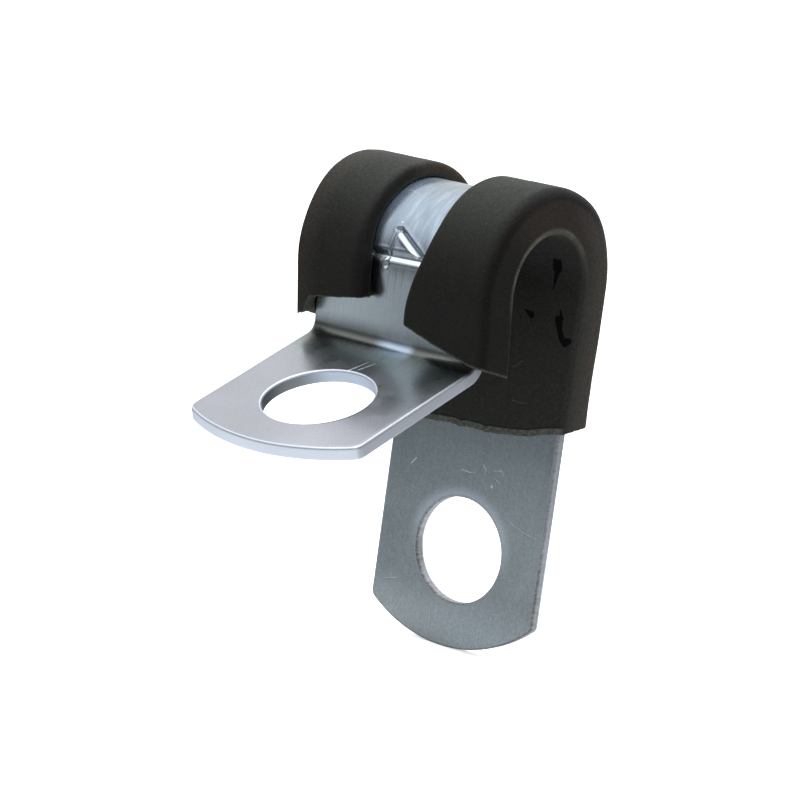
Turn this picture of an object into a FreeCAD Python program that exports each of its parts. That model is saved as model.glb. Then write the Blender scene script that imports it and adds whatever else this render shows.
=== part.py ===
import FreeCAD, Part
import math
import os

# Cushioned P clip for a small tube or cable, sprung open: a folded metal band in a rubber liner.
# Sizes are in millimetres. The origin is the centre of the straight tab's hole, on the tab's rear face.
# X runs along the tube that the clip holds, Y to the rear and Z up.

# Metal band
BAND_WIDTH = 12.7
BAND_THICKNESS = 0.8

# Bolt holes and tab ends
HOLE_DIAMETER = 6.75
STRAIGHT_TAB_END = 6.3
STRAIGHT_END_RADIUS = 10.0
STRAIGHT_CORNER_RADIUS = 0.5
BENT_TAB_END = 5.95
BENT_END_RADIUS = 12.0
BENT_CORNER_RADIUS = 0.8
END_ARC_OFFSET = -0.4

# Loop
BORE_DIAMETER = 6.7
LOOP_HEIGHT = 18.0
FRONT_LEG_LEAN = 6.0

# Bent tab
BEND_DROP = 4.69
BEND_INSIDE_RADIUS = 0.85
BENT_TAB_DROOP = 22.2
BENT_HOLE_REACH = 7.0

# Rubber liner, a channel that wraps the band's inner face and both of its edges
INNER_WALL = 1.1
SIDE_WALL = 1.0
LIP_THICKNESS = 0.93
SEAT_CLEARANCE = 0.05
LEFT_CORNER_RADIUS = 0.25
RIGHT_CORNER_RADIUS = 0.65
RIM_RADIUS = 0.35

# Gap between the two lips, pulled wide open over the crown
CROWN_GAP = 5.0
END_GAP = 2.8
GAP_WIDE_RISE = 3.6
LEFT_NARROW_DROP = 1.8
RIGHT_NARROW_DROP = 3.1

# Cut ends of the liner, measured on the lips' outer face
REAR_END_HEIGHT = 9.05
FRONT_END_DROP = 3.85
CUT_SLANT = 18.0
CUT_SKEW = 4.0
LIP_SLANT = 13.0
LIP_CUT_MARGIN = 0.1
LEFT_LIP_SETBACK = 0.85

# Worked out from the sizes above
SEAT_WIDTH = BAND_WIDTH + 2 * SEAT_CLEARANCE
LINER_WIDTH = SEAT_WIDTH + 2 * SIDE_WALL
INNER_OFFSET = -(BAND_THICKNESS + SEAT_CLEARANCE + INNER_WALL)
OUTER_OFFSET = SEAT_CLEARANCE + LIP_THICKNESS
FACE_RADIUS = BORE_DIAMETER / 2 - INNER_OFFSET
TOOL_REACH = 4 * (FACE_RADIUS + OUTER_OFFSET) + LOOP_HEIGHT

ACROSS = FreeCAD.Vector(1, 0, 0)
REAR = FreeCAD.Vector(0, 1, 0)
DOWN = FreeCAD.Vector(0, 0, -1)


def side_point(y, z):
    """A point of the side view, which lies in the plane X = 0."""
    return FreeCAD.Vector(0, y, z)


def side_direction(degrees):
    """A unit direction of the side view, from rearwards at 0 through upwards at 90."""
    angle = math.radians(degrees)
    return side_point(math.cos(angle), math.sin(angle))


LOOP_CENTRE = side_point(-FACE_RADIUS, LOOP_HEIGHT)
LEG_ANGLE = 180 + FRONT_LEG_LEAN
LEG_OUTWARD = side_direction(LEG_ANGLE)
LEG_DOWN = side_direction(LEG_ANGLE + 90)
TAB_ALONG = side_direction(180 + BENT_TAB_DROOP)
TAB_UNDER = side_direction(270 + BENT_TAB_DROOP)


def arch_point(offset, degrees):
    """A point of the arch, at an offset outwards from the band's outer face."""
    return LOOP_CENTRE + side_direction(degrees) * (FACE_RADIUS + offset)


def leg_point(offset, drop):
    """A point of the front leg, a height below the loop's centre, at an offset from its outer face."""
    start = arch_point(0, LEG_ANGLE)
    run = (drop + start.z - LOOP_HEIGHT) / -LEG_DOWN.z
    return start + LEG_DOWN * run + LEG_OUTWARD * offset


def arc(first, middle, last):
    return Part.Arc(first, middle, last).toShape()


def line(first, last):
    return Part.LineSegment(first, last).toShape()


def extrude_side(edges, width):
    """A solid whose side view is the closed outline of the edges, centred across the clip."""
    face = Part.Face(Part.Wire(edges))
    face.translate(ACROSS * (-width / 2))
    return face.extrude(ACROSS * width)


def loop_slab(inner, outer, rear_foot, leg_drop, width):
    """The stretch between two offsets that follows the rear leg, the arch and the front leg."""
    half_way = LEG_ANGLE / 2
    rear_outer = side_point(outer, rear_foot)
    rear_inner = side_point(inner, rear_foot)
    front_outer = leg_point(outer, leg_drop)
    front_inner = leg_point(inner, leg_drop)
    edges = [
        line(rear_outer, arch_point(outer, 0)),
        arc(arch_point(outer, 0), arch_point(outer, half_way), arch_point(outer, LEG_ANGLE)),
        line(arch_point(outer, LEG_ANGLE), front_outer),
        line(front_outer, front_inner),
        line(front_inner, arch_point(inner, LEG_ANGLE)),
        arc(arch_point(inner, LEG_ANGLE), arch_point(inner, half_way), arch_point(inner, 0)),
        line(arch_point(inner, 0), rear_inner),
        line(rear_inner, rear_outer),
    ]
    return extrude_side(edges, width)


# Metal band


def end_arc_height(x, reach, radius):
    """How far beyond the hole's centre the rounded end of a tab lies at a place across it."""
    return reach - radius + math.sqrt(radius ** 2 - (x - END_ARC_OFFSET) ** 2)


def flat_tab(run, reach, end_radius, corner_radius):
    """A tab lying flat, with its hole's centre at the origin and its rounded end towards +Y."""
    half = BAND_WIDTH / 2
    root_left = FreeCAD.Vector(-half, -run, 0)
    root_right = FreeCAD.Vector(half, -run, 0)
    right = FreeCAD.Vector(half, end_arc_height(half, reach, end_radius), 0)
    left = FreeCAD.Vector(-half, end_arc_height(-half, reach, end_radius), 0)
    tip = FreeCAD.Vector(END_ARC_OFFSET, reach, 0)
    sides = [line(root_left, root_right), line(root_right, right), line(left, root_left)]
    outline = Part.Wire(Part.__sortEdges__(sides + [arc(right, tip, left)]))
    tab = Part.Face(outline).extrude(FreeCAD.Vector(0, 0, BAND_THICKNESS))
    corners = [edge for edge in tab.Edges if edge_stands_on(edge, left) or edge_stands_on(edge, right)]
    tab = tab.makeFillet(corner_radius, corners)
    hole = Part.makeCylinder(HOLE_DIAMETER / 2, BAND_THICKNESS)
    return tab.cut(hole)


def edge_stands_on(edge, corner):
    """Whether an edge runs through the thickness of a flat tab at one of its corners."""
    middle = edge.CenterOfMass
    return math.hypot(middle.x - corner.x, middle.y - corner.y) < BAND_THICKNESS / 100


def straight_tab():
    """The straight tab, with the flat rear leg that runs up from it to the arch."""
    tab = flat_tab(LOOP_HEIGHT, STRAIGHT_TAB_END, STRAIGHT_END_RADIUS, STRAIGHT_CORNER_RADIUS)
    turn = FreeCAD.Rotation(ACROSS, DOWN, REAR, "XYZ")
    tab.Placement = FreeCAD.Placement(REAR * -BAND_THICKNESS, turn)
    return tab


def bend_tangent():
    """The length from the bend's sharp corner to where its arc starts, on either side."""
    turn = LEG_DOWN.getAngle(TAB_ALONG)
    return BEND_INSIDE_RADIUS * math.tan(turn / 2)


def loop_strip():
    """The arch, the front leg and the bend, down to the root of the bent tab."""
    thick = BAND_THICKNESS
    corner = leg_point(0, BEND_DROP)
    leg_end = corner - LEG_DOWN * bend_tangent()
    tab_root = corner + TAB_ALONG * bend_tangent()
    centre = leg_end + LEG_OUTWARD * BEND_INSIDE_RADIUS
    half_turn = (corner - centre).normalize()
    leg_end_inside = leg_end - LEG_OUTWARD * thick
    tab_root_under = tab_root + TAB_UNDER * thick
    inside_middle = centre + half_turn * BEND_INSIDE_RADIUS
    outside_middle = centre + half_turn * (BEND_INSIDE_RADIUS + thick)
    half_way = LEG_ANGLE / 2
    edges = [
        arc(arch_point(0, 0), arch_point(0, half_way), arch_point(0, LEG_ANGLE)),
        line(arch_point(0, LEG_ANGLE), leg_end),
        arc(leg_end, inside_middle, tab_root),
        line(tab_root, tab_root_under),
        arc(tab_root_under, outside_middle, leg_end_inside),
        line(leg_end_inside, arch_point(-thick, LEG_ANGLE)),
        arc(arch_point(-thick, LEG_ANGLE), arch_point(-thick, half_way), arch_point(-thick, 0)),
        line(arch_point(-thick, 0), arch_point(0, 0)),
    ]
    return extrude_side(edges, BAND_WIDTH)


def bent_tab():
    """The tab that folds out of the front leg and droops forwards."""
    root = BENT_HOLE_REACH - bend_tangent()
    tab = flat_tab(root, BENT_TAB_END, BENT_END_RADIUS, BENT_CORNER_RADIUS)
    hole_centre = leg_point(0, BEND_DROP) + TAB_ALONG * BENT_HOLE_REACH
    tab.Placement = FreeCAD.Placement(hole_centre, FreeCAD.Rotation(ACROSS, TAB_ALONG, TAB_UNDER, "XYZ"))
    return tab


def metal_band():
    """The whole band, folded from one strip."""
    return straight_tab().fuse([loop_strip(), bent_tab()]).removeSplitter()


# Rubber liner


def rounded_channel_block():
    """The liner's outer form before the seat is cut out of it, longer than the liner at both ends."""
    block = loop_slab(INNER_OFFSET, OUTER_OFFSET, REAR_END_HEIGHT / 2, 1.5 * FRONT_END_DROP, LINER_WIDTH)
    rims = [edge for edge in corner_edges(block) if not lies_outside_band(edge)]
    block = block.makeFillet(RIM_RADIUS, rims)
    for side, radius in ((-1, LEFT_CORNER_RADIUS), (1, RIGHT_CORNER_RADIUS)):
        outer = [edge for edge in corner_edges(block) if lies_outside_band(edge)]
        block = block.makeFillet(radius, [edge for edge in outer if side * edge.CenterOfMass.x > 0])
    return block


def corner_edges(block):
    """The edges that follow the loop along the ends of the liner's form."""
    wall = OUTER_OFFSET - INNER_OFFSET
    nearly = wall / 100
    level = [edge for edge in block.Edges if edge.BoundBox.XLength < nearly and edge.Length > wall + nearly]
    return [edge for edge in level if abs(edge.CenterOfMass.x) > LINER_WIDTH / 2 - nearly]


def lies_outside_band(edge):
    """Whether an edge that follows the loop runs outside the band's outer face."""
    middle = edge.valueAt((edge.FirstParameter + edge.LastParameter) / 2)
    from_centre = side_point(middle.y, middle.z) - LOOP_CENTRE
    if from_centre.z > 0:
        return from_centre.Length > FACE_RADIUS
    if from_centre.y > 0:
        return from_centre.y > FACE_RADIUS
    return from_centre.dot(LEG_OUTWARD) > FACE_RADIUS


def lip_edge(side, narrow_drop):
    """One lip's free edge in the front view, from above the crown down past the liner's end."""
    wide = CROWN_GAP / 2
    narrow = END_GAP / 2
    sink = wide - narrow
    rise = GAP_WIDE_RISE + narrow_drop
    radius = (sink ** 2 + rise ** 2) / (2 * sink)
    between = wide - radius + math.sqrt(radius ** 2 - (rise / 2) ** 2)
    top = LOOP_HEIGHT + GAP_WIDE_RISE
    above = FreeCAD.Vector(side * wide, 0, LOOP_HEIGHT + TOOL_REACH)
    start = FreeCAD.Vector(side * wide, 0, top)
    middle = FreeCAD.Vector(side * between, 0, top - rise / 2)
    end = FreeCAD.Vector(side * narrow, 0, top - rise)
    below = FreeCAD.Vector(side * narrow, 0, -TOOL_REACH)
    return [line(above, start), arc(start, middle, end), line(end, below)]


def lip_gap():
    """The gap between the lips, drawn in the front view and kept to the outside of the band."""
    left = lip_edge(-1, LEFT_NARROW_DROP)
    right = lip_edge(1, RIGHT_NARROW_DROP)
    top = line(left[0].firstVertex().Point, right[0].firstVertex().Point)
    foot = line(left[2].lastVertex().Point, right[2].lastVertex().Point)
    wire = Part.Wire(Part.__sortEdges__(left + right + [top, foot]))
    prism = Part.Face(wire).extrude(REAR * (2 * TOOL_REACH))
    prism.translate(REAR * -TOOL_REACH)
    outside = loop_slab(0, OUTER_OFFSET + LIP_THICKNESS, -LOOP_HEIGHT, TOOL_REACH, LINER_WIDTH)
    return prism.common(outside)


def cut_placement(point, outward, along, slant):
    """The frame of an end cut: its X across, its Y outwards and its Z along the leg, off the end."""
    across = outward.cross(along)
    frame = FreeCAD.Rotation(across, outward, along, "XYZ")
    lean = FreeCAD.Rotation(FreeCAD.Vector(1, 0, 0), -slant)
    turn = FreeCAD.Rotation(FreeCAD.Vector(0, 1, 0), -CUT_SKEW)
    return FreeCAD.Placement(point, frame.multiply(lean).multiply(turn))


def lip_cut(setback):
    """What is cut off both lips, drawn back from the side walls to the free edges, the left one further."""
    reach = TOOL_REACH
    half = SEAT_WIDTH / 2 + LIP_CUT_MARGIN
    floor = -OUTER_OFFSET
    peak = -half * math.tan(math.radians(LIP_SLANT))
    corners = [
        FreeCAD.Vector(-half, floor, reach),
        FreeCAD.Vector(-half, floor, -setback),
        FreeCAD.Vector(0, floor, peak - setback),
        FreeCAD.Vector(0, floor, peak),
        FreeCAD.Vector(half, floor, 0),
        FreeCAD.Vector(half, floor, reach),
    ]
    apart = [corner for index, corner in enumerate(corners) if corner != corners[index - 1]]
    return Part.Face(Part.makePolygon(apart + apart[:1])).extrude(FreeCAD.Vector(0, reach, 0))


def end_cut(point, outward, along, setback=0):
    """What a slanted cut takes off one end of the liner, with its lips cut back further."""
    reach = TOOL_REACH
    start = FreeCAD.Vector(-reach, -FACE_RADIUS, 0)
    off_end = Part.makeBox(2 * reach, FACE_RADIUS + reach, reach, start)
    off_end.Placement = cut_placement(point, outward, along, CUT_SLANT).multiply(off_end.Placement)
    off_lips = lip_cut(setback)
    off_lips.Placement = cut_placement(point, outward, along, 0)
    return [off_end, off_lips]


def rubber_liner():
    """The channel liner, bent round with the band, with its slanted ends."""
    seat = loop_slab(-BAND_THICKNESS - SEAT_CLEARANCE, SEAT_CLEARANCE, -LOOP_HEIGHT, TOOL_REACH, SEAT_WIDTH)
    rear = side_point(OUTER_OFFSET, REAR_END_HEIGHT)
    rear_cut = end_cut(rear, REAR, DOWN)
    front = leg_point(OUTER_OFFSET, FRONT_END_DROP)
    front_cut = end_cut(front, LEG_OUTWARD, LEG_DOWN, LEFT_LIP_SETBACK)
    liner = rounded_channel_block().cut([seat, lip_gap()])
    return liner.cut(rear_cut).cut(front_cut)


os.makedirs("parts", exist_ok=True)
metal_band().exportStep("parts/metal_band.step")
rubber_liner().exportStep("parts/rubber_liner.step")
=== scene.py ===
import math

import bmesh
import bpy
import numpy as np
from mathutils import Matrix, Vector, noise


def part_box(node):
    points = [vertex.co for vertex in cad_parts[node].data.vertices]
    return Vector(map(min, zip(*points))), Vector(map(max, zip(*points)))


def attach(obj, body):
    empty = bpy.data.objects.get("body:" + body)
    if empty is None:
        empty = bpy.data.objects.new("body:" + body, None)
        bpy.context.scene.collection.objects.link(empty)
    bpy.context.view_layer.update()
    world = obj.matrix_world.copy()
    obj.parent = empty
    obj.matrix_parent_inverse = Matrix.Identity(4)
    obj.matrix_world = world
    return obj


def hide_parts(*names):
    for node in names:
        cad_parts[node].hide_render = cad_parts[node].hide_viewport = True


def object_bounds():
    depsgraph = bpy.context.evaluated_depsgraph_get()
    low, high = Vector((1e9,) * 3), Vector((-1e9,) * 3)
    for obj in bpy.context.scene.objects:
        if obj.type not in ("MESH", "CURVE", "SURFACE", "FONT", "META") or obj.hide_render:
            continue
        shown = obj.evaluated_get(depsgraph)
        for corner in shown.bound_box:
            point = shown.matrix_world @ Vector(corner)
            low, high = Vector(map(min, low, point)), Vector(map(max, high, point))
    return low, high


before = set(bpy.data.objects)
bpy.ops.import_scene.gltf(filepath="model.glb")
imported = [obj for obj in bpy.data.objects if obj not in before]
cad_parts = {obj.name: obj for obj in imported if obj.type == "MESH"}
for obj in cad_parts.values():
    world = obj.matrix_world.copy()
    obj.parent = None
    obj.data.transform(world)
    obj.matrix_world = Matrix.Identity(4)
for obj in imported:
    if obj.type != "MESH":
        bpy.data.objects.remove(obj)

CAD_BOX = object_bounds()
MM = 0.001

# Sizes of the clip in millimetres, as in the solids
BAND_WIDTH = 12.7
BAND_THICKNESS = 0.8
HOLE_RADIUS = 3.375
END_ARC_OFFSET = -0.4
STRAIGHT_END = {"reach": 6.3, "radius": 10.0, "corner": 0.5}
BENT_END = {"reach": 5.95, "radius": 12.0, "corner": 0.8}
FACE_RADIUS = 5.3
LOOP_HEIGHT = 18.0
LEG_ANGLE = math.radians(186)
TAB_ANGLE = math.radians(202.2)
BEND_RADIUS = 0.85
BEND_TURN = LEG_ANGLE + math.pi / 2 - TAB_ANGLE
BEND_REACH = BEND_RADIUS * math.tan(BEND_TURN / 2)
LEG_TO_CORNER = 4.159
CORNER_TO_HOLE = 7.0
LEG_RUN = LEG_TO_CORNER - BEND_REACH
TAB_HOLE_RUN = CORNER_TO_HOLE - BEND_REACH
SEAT_GAP = 0.05
LIP_OUT = 0.98
INNER_OUT = -1.95
LINER_HALF = 7.4
SEAT_HALF = 6.4
LEFT_ROUND = 0.25
RIGHT_ROUND = 0.65
RIM_ROUND = 0.35
LIP_ROUND = 0.32

# Lengths along the band's outer face, from the straight tab's hole
ARCH_END = LOOP_HEIGHT + FACE_RADIUS * LEG_ANGLE
BEND_START = ARCH_END + LEG_RUN
BENT_HOLE = BEND_START + BEND_RADIUS * BEND_TURN + TAB_HOLE_RUN
HALF = BAND_WIDTH / 2

# Where each tab's rings meet the strip's rows, from its hole towards the strip
STRAIGHT_JOIN = 5.6
BENT_JOIN = 4.9

# How the metal was sheared
EDGE_ROUND = 0.14
BURR_ROUND = 0.03


def strip_frame(s, folded):
    """Side view along the band: its outer face's Y and Z and the angle of its outward direction."""
    s = np.asarray(s, float)
    angle = np.clip((s - LOOP_HEIGHT) / FACE_RADIUS, 0, LEG_ANGLE)
    y = FACE_RADIUS * (np.cos(angle) - 1)
    z = LOOP_HEIGHT + FACE_RADIUS * np.sin(angle) + np.minimum(s - LOOP_HEIGHT, 0)
    past = np.maximum(s - ARCH_END, 0)
    leg = np.minimum(past, LEG_RUN) if folded else past
    y = y - leg * math.sin(LEG_ANGLE)
    z = z + leg * math.cos(LEG_ANGLE)
    turn = np.clip((past - LEG_RUN) / BEND_RADIUS, 0, BEND_TURN) if folded else 0 * past
    y = y + BEND_RADIUS * (math.cos(LEG_ANGLE) - np.cos(LEG_ANGLE - turn))
    z = z + BEND_RADIUS * (math.sin(LEG_ANGLE) - np.sin(LEG_ANGLE - turn))
    tab = np.maximum(past - LEG_RUN - BEND_RADIUS * BEND_TURN, 0) if folded else 0 * past
    y = y + tab * math.cos(TAB_ANGLE)
    z = z + tab * math.sin(TAB_ANGLE)
    return y, z, angle - turn


def strip_place(x, s, n, folded=True):
    """Points at x across the clip, s along the band and n outwards from its outer face."""
    y, z, angle = strip_frame(s, folded)
    x = np.asarray(x, float) + 0 * y
    return np.stack([x, y + n * np.cos(angle), z + n * np.sin(angle)], -1)


def smooth_step(low, high, value):
    t = np.clip((value - low) / (high - low), 0, 1)
    return t * t * (3 - 2 * t)


def wavy(points, scale, seed):
    """Smooth noise from -1 to 1 at points in millimetres."""
    shift = Vector((seed * 17.3, seed * 5.1, seed * 9.7))
    return np.array([noise.noise(Vector(p) * scale + shift) for p in points])


def mesh_object(name, points, faces, facts):
    """A closed mesh in metres with its own point attributes, lying in the clip's frame."""
    mesh = bpy.data.meshes.new(name)
    mesh.from_pydata((np.asarray(points) * MM).tolist(), [], faces)
    mesh.update()
    work = bmesh.new()
    work.from_mesh(mesh)
    bmesh.ops.recalc_face_normals(work, faces=work.faces)
    work.to_mesh(mesh)
    work.free()
    for key, values in facts.items():
        values = np.asarray(values, float)
        kind = "FLOAT_VECTOR" if values.ndim == 2 else "FLOAT"
        layer = mesh.attributes.new(key, kind, "POINT")
        layer.data.foreach_set("vector" if values.ndim == 2 else "value", values.ravel())
    mesh.shade_smooth()
    piece = bpy.data.objects.new(name, mesh)
    bpy.context.scene.collection.objects.link(piece)
    return piece


# Metal band: a flat blank of quads, then folded, with sheared edges


class Blank:
    """The flat strip, as points (x, s) and quads, with its free edges."""

    def __init__(self):
        self.points = []
        self.quads = []
        self.loops = []

    def add(self, x, s):
        self.points.append((x, s))
        return len(self.points) - 1

    def fill(self, first, second):
        for i in range(len(first) - 1):
            self.quads.append((first[i], first[i + 1], second[i + 1], second[i]))


def across_stations():
    edge = HALF - EDGE_ROUND
    left = np.linspace(-edge, -2.6, 18)[:-1]
    fine = np.linspace(-2.6, 1.9, 72)
    right = np.linspace(1.9, edge, 21)[1:]
    return np.concatenate([left, fine, right])


def along_stations(start, end):
    marks = [(start, 17.8, 0.5), (17.8, 31.7, 0.16), (31.7, 34.8, 0.065), (34.8, BEND_START - 0.1, 0.2),
             (BEND_START - 0.1, BEND_START + 1.2, 0.05), (BEND_START + 1.2, end, 0.2)]
    runs = [np.linspace(a, b, max(2, int(round((b - a) / step)) + 1))[:-1] for a, b, step in marks]
    return np.concatenate(runs + [[end]])


def tab_outline(end, root):
    """A tab's free edge from its right side round the tip to its left side, with outward directions."""
    corner_round = end["corner"]
    reach_round = end["radius"] - corner_round
    centre = np.array([END_ARC_OFFSET, end["reach"] - end["radius"]])
    corners = []
    for side in (1, -1):
        x = side * (HALF - corner_round)
        corners.append(np.array([x, centre[1] + math.sqrt(reach_round ** 2 - (x - centre[0]) ** 2)]))
    turns = [math.atan2(*(corner - centre)[::-1]) for corner in corners]
    points, outward = [], []

    def put(point, angle):
        points.append(point)
        outward.append((math.cos(angle), math.sin(angle)))

    for v in np.linspace(root, corners[0][1], 34)[1:-1]:
        put((HALF, v), 0)
    for angle in np.linspace(0, turns[0], 9):
        put(corners[0] + corner_round * np.array([math.cos(angle), math.sin(angle)]), angle)
    for angle in np.linspace(turns[0], turns[1], 90)[1:-1]:
        put(centre + end["radius"] * np.array([math.cos(angle), math.sin(angle)]), angle)
    for angle in np.linspace(turns[1], math.pi, 9):
        put(corners[1] + corner_round * np.array([math.cos(angle), math.sin(angle)]), angle)
    for v in np.linspace(corners[1][1], root, 34)[1:-1]:
        put((-HALF, v), math.pi)
    return np.array(points), np.array(outward)


def add_tab(blank, join, hole, sense, end, root):
    """A tab from its join with the strip round its hole, in rings from its outline in to the hole."""
    outline, outward = tab_outline(end, root)
    inset = outline - EDGE_ROUND * outward
    free = [blank.add(x, hole + sense * v) for x, v in inset]
    ring = free + join
    place = np.array([blank.points[i] for i in ring])
    place[:, 1] = (place[:, 1] - hole) * sense
    angles = np.arctan2(place[:, 1], place[:, 0])
    rim = (HOLE_RADIUS + EDGE_ROUND) * np.stack([np.cos(angles), np.sin(angles)], -1)
    last = ring
    for step in np.linspace(0, 1, 17)[1:]:
        share = step ** 0.9
        row = [blank.add(x, hole + sense * v) for x, v in place * (1 - share) + rim * share]
        blank.fill(last + last[:1], row + row[:1])
        last = row
    directions = -np.stack([np.cos(angles), sense * np.sin(angles)], -1)
    blank.loops.append((last, directions))
    return free, outward * np.array([1, sense])


def band_blank():
    blank = Blank()
    xs = across_stations()
    stations = along_stations(STRAIGHT_JOIN, BENT_HOLE - BENT_JOIN)
    rows = [[blank.add(x, s) for x in xs] for s in stations]
    for first, second in zip(rows, rows[1:]):
        blank.fill(first, second)
    low, low_out = add_tab(blank, rows[0], 0, -1, STRAIGHT_END, -STRAIGHT_JOIN)
    high, high_out = add_tab(blank, rows[-1], BENT_HOLE, 1, BENT_END, -BENT_JOIN)
    right = [row[-1] for row in rows]
    left = [row[0] for row in rows][::-1]
    edge = right + high + left + low[::-1]
    right_out = np.tile([1.0, 0.0], (len(right), 1))
    outward = np.concatenate([right_out, high_out, -right_out, low_out[::-1]])
    blank.loops.append((edge, outward))
    return blank


def edge_profile():
    """The sheared edge, as steps outwards and down through the thickness, rolled over at the top."""
    steps = []
    for angle in np.radians([15, 30, 45, 60, 75, 90]):
        steps.append((EDGE_ROUND * math.sin(angle), -EDGE_ROUND * (1 - math.cos(angle))))
    for depth in np.linspace(EDGE_ROUND, BAND_THICKNESS - BURR_ROUND, 7)[1:]:
        steps.append((EDGE_ROUND, -depth))
    for angle in np.radians([45, 90]):
        out = EDGE_ROUND - BURR_ROUND * (1 - math.cos(angle))
        steps.append((out, -(BAND_THICKNESS - BURR_ROUND) - BURR_ROUND * math.sin(angle)))
    return steps


# The size number stamped in the crown: strokes from (x, s) to (x, s) and their half width
DIGIT_STROKES = [
    ((-2.15, 33.88), (1.45, 33.76), 0.33),
    ((-0.66, 32.24), (1.22, 33.45), 0.24),
    ((-0.92, 32.16), (-0.66, 32.12), 0.15),
    ((-0.84, 32.2), (-1.00, 34.3), 0.12),
    ((-1.00, 34.36), (-1.00, 34.46), 0.19),
]
DIGIT_DEPTH = 0.17


def segment_distance(x, s, start, end):
    a, b = np.array(start), np.array(end)
    run = b - a
    share = np.clip(((x - a[0]) * run[0] + (s - a[1]) * run[1]) / (run @ run), 0, 1)
    return np.hypot(x - a[0] - share * run[0], s - a[1] - share * run[1])


def stamped_relief(x, s):
    """How far the outer face stands in or out where the number is struck."""
    groove, rim = np.zeros_like(x), np.zeros_like(x)
    for start, end, width in DIGIT_STROKES:
        distance = segment_distance(x, s, start, end)
        groove = np.maximum(groove, 1 - smooth_step(0.0, 1.15 * width, distance))
        rim = np.maximum(rim, np.exp(-((distance - 1.4 * width) / 0.09) ** 2))
    return 0.022 * rim * (1 - groove) - DIGIT_DEPTH * groove


def metal_band():
    blank = band_blank()
    flat = np.array(blank.points)
    x, s = flat[:, 0], flat[:, 1]
    relief = stamped_relief(x, s)
    handling = 0.012 * wavy(np.stack([x, s, 0 * x], -1), 0.33, 3) * smooth_step(ARCH_END + 4, ARCH_END + 6, s)
    top = strip_place(x, s, relief + handling)
    bottom = strip_place(x, s, handling - BAND_THICKNESS)
    count = len(flat)
    points = [top, bottom]
    seats = [np.stack([x, s, 0 * x], -1), np.stack([x, s, 0 * x - BAND_THICKNESS], -1)]
    edge = [np.zeros(2 * count)]
    faces = [tuple(q) for q in blank.quads]
    faces += [tuple(i + count for i in q)[::-1] for q in blank.quads]
    used = 2 * count
    for loop, outward in blank.loops:
        ids = np.array(loop)
        ring = ids
        for out, n in edge_profile():
            ex = x[ids] + out * outward[:, 0]
            es = s[ids] + out * outward[:, 1]
            points.append(strip_place(ex, es, n + handling[ids]))
            seats.append(np.stack([ex, es, 0 * ex + n], -1))
            edge.append(np.ones(len(ids)))
            new = np.arange(used, used + len(ids))
            used += len(ids)
            faces += quad_ring(ring, new)
            ring = new
        faces += quad_ring(ring, ids + count)
    points = np.concatenate(points)
    points = np.clip(points, box_low("metal_band"), box_high("metal_band"))
    return mesh_object("band", points, faces, {"seat": np.concatenate(seats), "edge": np.concatenate(edge)})


def quad_ring(first, second):
    after = np.roll(first, -1)
    after_second = np.roll(second, -1)
    return [tuple(int(v) for v in q) for q in zip(first, after, after_second, second)]


def box_low(node):
    return np.array(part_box(node)[0]) / MM


def box_high(node):
    return np.array(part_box(node)[1]) / MM


# Rubber liner: a channel section swept along the band

SKEW = math.tan(math.radians(4))
SLANT = math.tan(math.radians(18))
LIP_RISE = math.tan(math.radians(13))
REAR_END = 9.05
FRONT_END = ARCH_END + 3.36
LEFT_SETBACK = 0.85
LAYERS = 6


def gap_half(s, side):
    """Half the gap between the lips, on one side, along the band."""
    _, z, _ = strip_frame(s, False)
    below = LOOP_HEIGHT + 3.6 - z
    if side < 0:
        return 2.5 - 0.50 * smooth_step(0.5, 4.5, below)
    return 2.5 - 1.25 * smooth_step(0.3, 7.0, below)


def section_stations():
    """Share of each stretch of the channel section: the lip, the side wall and the inner wall."""
    lip = np.concatenate([np.linspace(0, 0.05, 6)[:-1], np.linspace(0.05, 0.86, 26)[:-1], np.linspace(0.86, 1, 8)])
    side = np.concatenate([np.linspace(0, 0.28, 8)[:-1], np.linspace(0.28, 0.87, 11)[:-1], np.linspace(0.87, 1, 6)])
    inner = [np.linspace(0, 0.025, 5)[:-1], np.linspace(0.025, 0.975, 84)[:-1], np.linspace(0.975, 1, 5)]
    inner = np.concatenate(inner)
    return lip, side, inner


def rounded(x, n, corner_x, corner_n, radius, into_x, into_n):
    """Draws points of a sharp corner onto its arc. into_x and into_n say which way the rubber lies."""
    centre_x = corner_x + into_x * radius
    centre_n = corner_n + into_n * radius
    dx, dn = x - centre_x, n - centre_n
    near = (dx * into_x < 0) & (dn * into_n < 0)
    far = np.maximum(np.hypot(dx, dn), 1e-9)
    return np.where(near, centre_x + dx * radius / far, x), np.where(near, centre_n + dn * radius / far, n)


def channel_half(gap, side):
    """Outer and seat outlines of half the channel, from the lip's free edge to the inner wall's start."""
    lip, wall, _ = section_stations()
    gap = gap[:, None]
    outer_x = np.concatenate([gap + lip * (LINER_HALF - gap), 0 * gap + LINER_HALF + 0 * wall[1:]], 1)
    outer_n = np.concatenate([0 * gap + LIP_OUT + 0 * lip, 0 * gap + LIP_OUT + (INNER_OUT - LIP_OUT) * wall[1:]], 1)
    seat_x = np.concatenate([gap + lip * (SEAT_HALF - gap), 0 * gap + SEAT_HALF + 0 * wall[1:]], 1)
    seat_drop = BAND_THICKNESS + 2 * SEAT_GAP
    seat_n = np.concatenate([0 * gap + SEAT_GAP + 0 * lip, 0 * gap + SEAT_GAP - seat_drop * wall[1:]], 1)
    corner = LEFT_ROUND if side < 0 else RIGHT_ROUND
    outer_x, outer_n = rounded(outer_x, outer_n, LINER_HALF, LIP_OUT, corner, -1, -1)
    outer_x, outer_n = rounded(outer_x, outer_n, LINER_HALF, INNER_OUT, RIM_ROUND, -1, 1)
    return side * outer_x, outer_n, side * seat_x, seat_n


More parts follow.
